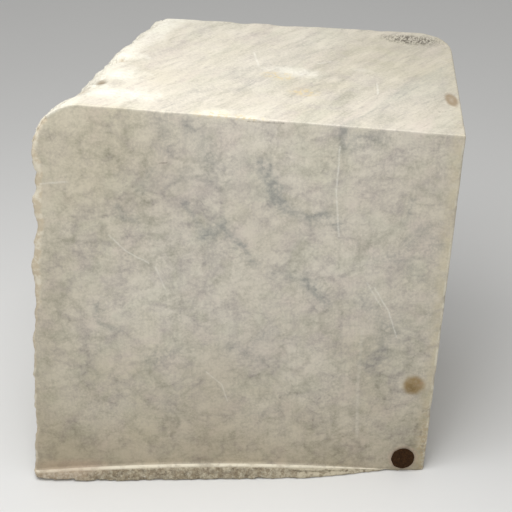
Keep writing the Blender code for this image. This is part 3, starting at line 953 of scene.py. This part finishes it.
# %% Hairlines
SCRATCHES = (  # half its width, how bright, and the points along it on the front as x and z, in millimetres
    (0.5, 0.34, (-97, 178.0), (-91, 178.8), (-84, 179.2)),
    (0.4, 0.38, (-66, 150), (-58, 141), (-47, 134)),
    (0.38, 0.3, (-44, 132), (-39, 118)),
    (0.45, 0.42, (46, 196), (45, 170), (47, 148)),
    (0.42, 0.42, (66, 118), (74, 104), (79, 88)),
    (0.38, 0.32, (62, 121), (70, 107)),
    (0.8, 0.14, (61, 92), (60, 60), (61, 24)),
    (0.35, 0.3, (-20, 68), (-12, 60), (-9, 49)),
)
TOP_SCRATCHES = (  # the same, with x and y on the top
    (0.5, 0.36, (7, 20), (8, 11), (9, 2)),
    (0.5, 0.4, (69, -8), (68.5, -14), (68, -21)),
    (0.4, 0.35, (40, 12), (47, 16)),
)
POWDER = (0.86, 0.84, 0.76)
scratched = 0.0
for scratches, on_stone in ((SCRATCHES, front_spot), (TOP_SCRATCHES, top_spot)):
    for half, bright, *points in scratches:
        line = marble.to_lines(trembling, [on_stone(*point) for point in points])
        scratched = line.ramp(1.6 * half * MM, 0.4 * half * MM) * bright + scratched
scratched = scratched * specks.ramp(0.34, 0.6, 0.35, 1.0)
colour = marble.mix(scratched, colour, POWDER)
marble.tell("scratches")

# %% [markdown]
# ## Gloss and relief
#
# The sawn sides were honed and then dulled, so they keep a faint sheen, a little stronger in the dense
# veins. Broken stone and dirt are matt. Colour carries most of the look, and bump adds what the mesh is too
# coarse for: crystals on the broken faces, the faint lines of the saw on the back and the right, and pits.

# %% Gloss and relief
honed = between(0.5, 0.62, marble.noise(20, 3.0))
rough = honed + broken_stone * 0.28 + on_lip * 0.2 + (dirt + scratched + bruise * 0.4) * 0.18
saw_lines = marble.noise(1.1, 2.0, 0.6, marble.mapped((0, 12, 0), (40, 40, 1)))
pits = marble.noise(2.4, 2.0).ramp(0.68, 0.78)
sugar_relief = specks * 0.9 + marble.noise(0.7, 2.0, 0.7) * 0.5
relief = crystals * 0.05 + saw_lines * (on_back + on_right) * 0.1 - pits * 0.1
relief = relief + sugar_relief * (broken_stone * 0.55 + on_lip * 0.35).clamped()
bumped = marble.node("ShaderNodeBump", None, {"Strength": 1.0, "Distance": 0.6 * MM, "Height": relief})
marble.use(Base_Color=colour, Roughness=rough.clamped(), Normal=bumped, Specular_IOR_Level=0.35)
block.data.materials.append(marble.material)
marble.tell("the marble finish")

# %% [markdown]
# ## The felt dot
#
# The dot is a stick-on felt pad. It could be a plain cylinder, but felt is cut from a mat of fibres: its
# rim is soft and its outline uneven, and this one is worn to a blunt point at the bottom. So a cone with
# equal ends is bevelled, its cap is cut into rings, and noise then pushes its points about. The axes of the
# measured dot give its place: it stands 0.3 mm off the stone, which is the thickness of its glue.

# %% Cut the dot
DOT_SIDES, DOT_RINGS = 96, 12
lean = math.atan(FRONT_LEAN)
dot_radius = (dot_high.x - dot_low.x) / 2
dot_thick = (dot_high.y - dot_low.y - 2 * dot_radius * math.sin(lean)) / math.cos(lean)
ring_wide, dot_bevel = 0.96 * dot_radius / (DOT_RINGS + 1.5), 0.36 * dot_thick

dot = bmesh.new()
bmesh.ops.create_cone(
    dot, cap_ends=True, segments=DOT_SIDES, radius1=dot_radius, radius2=dot_radius, depth=dot_thick
)
caps = [face for face in dot.faces if len(face.verts) > 4]
rims = [edge for cap in caps for edge in cap.edges]
bmesh.ops.bevel(dot, geom=rims, offset=dot_bevel, affect="EDGES", segments=4, profile=0.5, material=-1)
cap = max(dot.faces, key=lambda face: face.calc_center_median().z)
for _ in range(DOT_RINGS):
    bmesh.ops.inset_individual(dot, faces=[cap], thickness=ring_wide)
bmesh.ops.poke(dot, faces=[cap])
print("dot radius and thickness, mm:", round(dot_radius / MM, 2), round(dot_thick / MM, 2))

# %% Wear it and set it on the stone
POINT_DOWN = 0.45 * MM
for vert in dot.verts:
    out = math.hypot(vert.co.x, vert.co.y) / dot_radius
    angle = math.atan2(vert.co.y, vert.co.x)
    rim_wave = 0.16 * noise.noise(Vector((2.2 * math.cos(angle), 2.2 * math.sin(angle), 5.0)))
    below = max(0.0, -math.sin(angle)) ** 8 * POINT_DOWN - max(0.0, -math.sin(angle) - 0.2) * 0.1 * MM
    grow = 1 + out * out * (rim_wave * MM * 2.6 + below) / dot_radius
    vert.co.x, vert.co.y = vert.co.x * grow, vert.co.y * grow * 1.04 + 0.15 * MM
    if vert.co.z > 0:
        fluff = noise.fractal(vert.co / (0.9 * MM), 0.8, 2.0, 3)
        vert.co.z += (0.05 * fluff - 0.1 * out * out) * MM
place_dot = Matrix.Translation(dot_centre) @ Matrix.Rotation(math.pi / 2 - lean, 4, "X")
bmesh.ops.transform(dot, matrix=place_dot, verts=dot.verts)
bmesh.ops.recalc_face_normals(dot, faces=dot.faces)
felt_pad = as_object(dot, "felt_pad")
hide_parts("felt_dot")
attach(felt_pad, "root")
print("felt_pad:", len(felt_pad.data.vertices), "vertices")

# %% [markdown]
# ## Brown felt
#
# Felt is matt and a little mottled, with fibres lying every way. Noise stretched in two directions makes
# the fibres, in colour and in bump, and a few pale specks are stone dust caught in the nap. Its sheen is the
# light that the loose fibres at a grazing angle catch.

# %% Felt finish
CHOCOLATE, UMBER, DUST = (0.026, 0.0115, 0.0042), (0.075, 0.035, 0.013), (0.3, 0.22, 0.13)
felt = Finish("brown_felt", CHOCOLATE)
fibres = felt.noise(0.3, 3.0, 0.6, felt.mapped((0, 35, 0), (7, 1, 1)))
crossing = felt.noise(0.3, 3.0, 0.6, felt.mapped((0, -50, 0), (7, 1, 1)))
nap = fibres.most(crossing)
mottle = felt.noise(2.4, 3.0)
tufts = felt.noise(1.0, 2.0).ramp(0.45, 0.7)
worn_pale = nap.ramp(0.45, 0.75) * 0.4 + tufts * 0.4 + mottle.ramp(0.4, 0.7) * 0.3
dust = felt.noise(0.55, 1.0).ramp(0.74, 0.8) * 0.8
felt_colour = felt.coats(CHOCOLATE, (worn_pale, UMBER), (dust, DUST))
felt_rough = felt.noise(1.0).ramp(0, 1, 0.86, 0.98)
felt_relief = {"Strength": 0.8, "Distance": 0.12 * MM, "Height": nap + mottle * 0.5}
felt_bump = felt.node("ShaderNodeBump", None, felt_relief)
felt.use(Base_Color=felt_colour, Roughness=felt_rough, Normal=felt_bump)
felt.use(Sheen_Weight=0.03, Sheen_Roughness=0.5, Specular_IOR_Level=0.08)
felt_pad.data.materials.append(felt.material)
felt.tell("the felt finish")

# %% [markdown]
# ## A stage to look at it on
#
# The block stands on a plain pale floor. Its finish is nearly even, with a faint drift so that it
# isn't one flat colour.

# %% Floor
FLOOR_REACH = 15.0
plane = bmesh.new()
bmesh.ops.create_grid(plane, x_segments=1, y_segments=1, size=FLOOR_REACH)
floor = as_object(plane, "floor")
paper = Finish("pale_floor", (0.5, 0.5, 0.5))
paper_colour = paper.mix(paper.noise(250), (0.78, 0.78, 0.772), (0.81, 0.81, 0.802))
paper.use(Base_Color=paper_colour, Roughness=0.85, Specular_IOR_Level=0.2)
floor.data.materials.append(paper.material)
print("the floor is", 2 * FLOOR_REACH, "m wide")

# %% [markdown]
# ## Light and camera
#
# One soft light stands high in front to the left and one hangs nearly over the block, so the top is
# brightest, and the front fades towards its foot. A dim even world fills the shadows. The camera looks
# slightly down with a long lens, which keeps the uprights nearly parallel.

# %% Lights
LIGHTS = {  # watts, width, place and what it points at, in metres
    "key": (0.93, 0.35, (-0.06, -0.47, 0.62), (0.0, 0.0, 0.12)),
    "overhead": (1.76, 0.35, (-0.09, -0.15, 0.56), (0.0, 0.0, 0.12)),
}
WORLD_COLOUR, WORLD_STRENGTH = (1.0, 0.995, 0.98, 1.0), 0.42
for name, (watts, width, spot, target) in LIGHTS.items():
    lamp = bpy.data.lights.new(name, "AREA")
    lamp.energy, lamp.size = watts, width
    light = bpy.data.objects.new(name, lamp)
    light.location = spot
    light.rotation_euler = (Vector(target) - Vector(spot)).to_track_quat("-Z", "Y").to_euler()
    bpy.context.scene.collection.objects.link(light)

world = bpy.data.worlds.new("studio")
world.use_nodes = True
background = world.node_tree.nodes["Background"].inputs
background["Color"].default_value, background["Strength"].default_value = WORLD_COLOUR, WORLD_STRENGTH
bpy.context.scene.world = world
bpy.context.scene.view_settings.view_transform = "Standard"
print("lights:", sorted(LIGHTS))

# %% Camera
LOOK_DOWN, LOOK_ASIDE = math.radians(30.76), math.radians(-1.3)
SENSOR_MM, LENS_MM = 36.0, 84.375
CAMERA_SPOT = (-0.0054, -0.5743, 0.4419)
lens = bpy.data.cameras.new("camera")
lens.sensor_width, lens.lens = SENSOR_MM, LENS_MM
camera = bpy.data.objects.new("camera", lens)
camera.location = CAMERA_SPOT
camera.rotation_euler = (math.pi / 2 - LOOK_DOWN, 0.0, LOOK_ASIDE)
bpy.context.scene.collection.objects.link(camera)
bpy.context.scene.camera = camera
print("camera stands", round(camera.location.length, 3), "m from the middle of the base")
